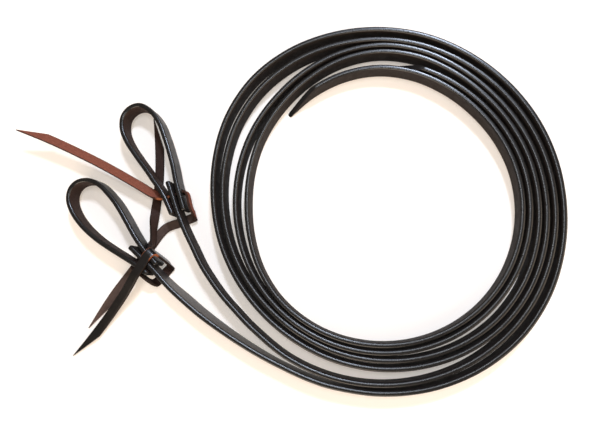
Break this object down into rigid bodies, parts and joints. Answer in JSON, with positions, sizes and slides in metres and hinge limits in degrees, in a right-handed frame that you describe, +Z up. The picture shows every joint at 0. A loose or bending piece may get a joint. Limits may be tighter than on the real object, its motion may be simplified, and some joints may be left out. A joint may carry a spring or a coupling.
{
  "type": "leather split reins",
  "caption": "Pair of flat black leather split reins, coiled together on edge, with laced water-loop bit ends and long tapered lace tails.",
  "frame": {"origin": "centre of the whole coiled pair in plan, on the surface that it lies on", "axes": "+Z up; +X from the bit ends towards the coil; +Y from the long lead of the outer rein towards the coil's far side"},
  "size_m": [0.4439, 0.2887, 0.021],
  "materials": {
    "rein_leather": "black harness leather, glazed and oiled, burnished edges",
    "loop_leather": "black harness leather, lightly worn, burnished edges",
    "lace_brown": "dark brown latigo lace, waxed grain side, raw cut edges",
    "lace_red_brown": "flesh side of latigo lace, red-brown, matt and fibrous",
    "lace_black": "black glazed grain side of latigo lace"
  },
  "bodies": {
    "coiled_reins": {"rein_strap_a": "rein_leather", "rein_strap_b": "rein_leather", "tie_lace_a": "lace_brown", "tie_lace_b": "lace_brown"},
    "loop_a": {"water_loop_a": "loop_leather"},
    "loop_b": {"water_loop_b": "loop_leather"},
    "tail_a": {"tie_lace_a_tail": "lace_red_brown"},
    "tail_b": {"tie_lace_b_tail": "lace_black"}
  },
  "joints": [
    {"name": "loop_a_lift", "type": "hinge", "parent": "coiled_reins", "child": "loop_a", "pos_m": [-0.0813, 0.0085, 0.0106], "axis": [0.9367, 0.3502, 0], "range_deg": [0, 10]},
    {"name": "loop_b_lift", "type": "hinge", "parent": "coiled_reins", "child": "loop_b", "pos_m": [-0.1062, -0.0415, 0.0106], "axis": [0.6717, 0.7408, 0], "range_deg": [0, 10]},
    {"name": "tail_a_bend", "type": "hinge", "parent": "coiled_reins", "child": "tail_a", "pos_m": [-0.1052, 0.01378, 0.01207], "axis": [0.4643, 0.8046, -0.3703], "range_deg": [-6, 30]},
    {"name": "tail_b_lift", "type": "hinge", "parent": "coiled_reins", "child": "tail_b", "pos_m": [-0.1017, -0.047, 0.021], "axis": [-0.8418, 0.5398, 0], "range_deg": [0, 60]}
  ]
}
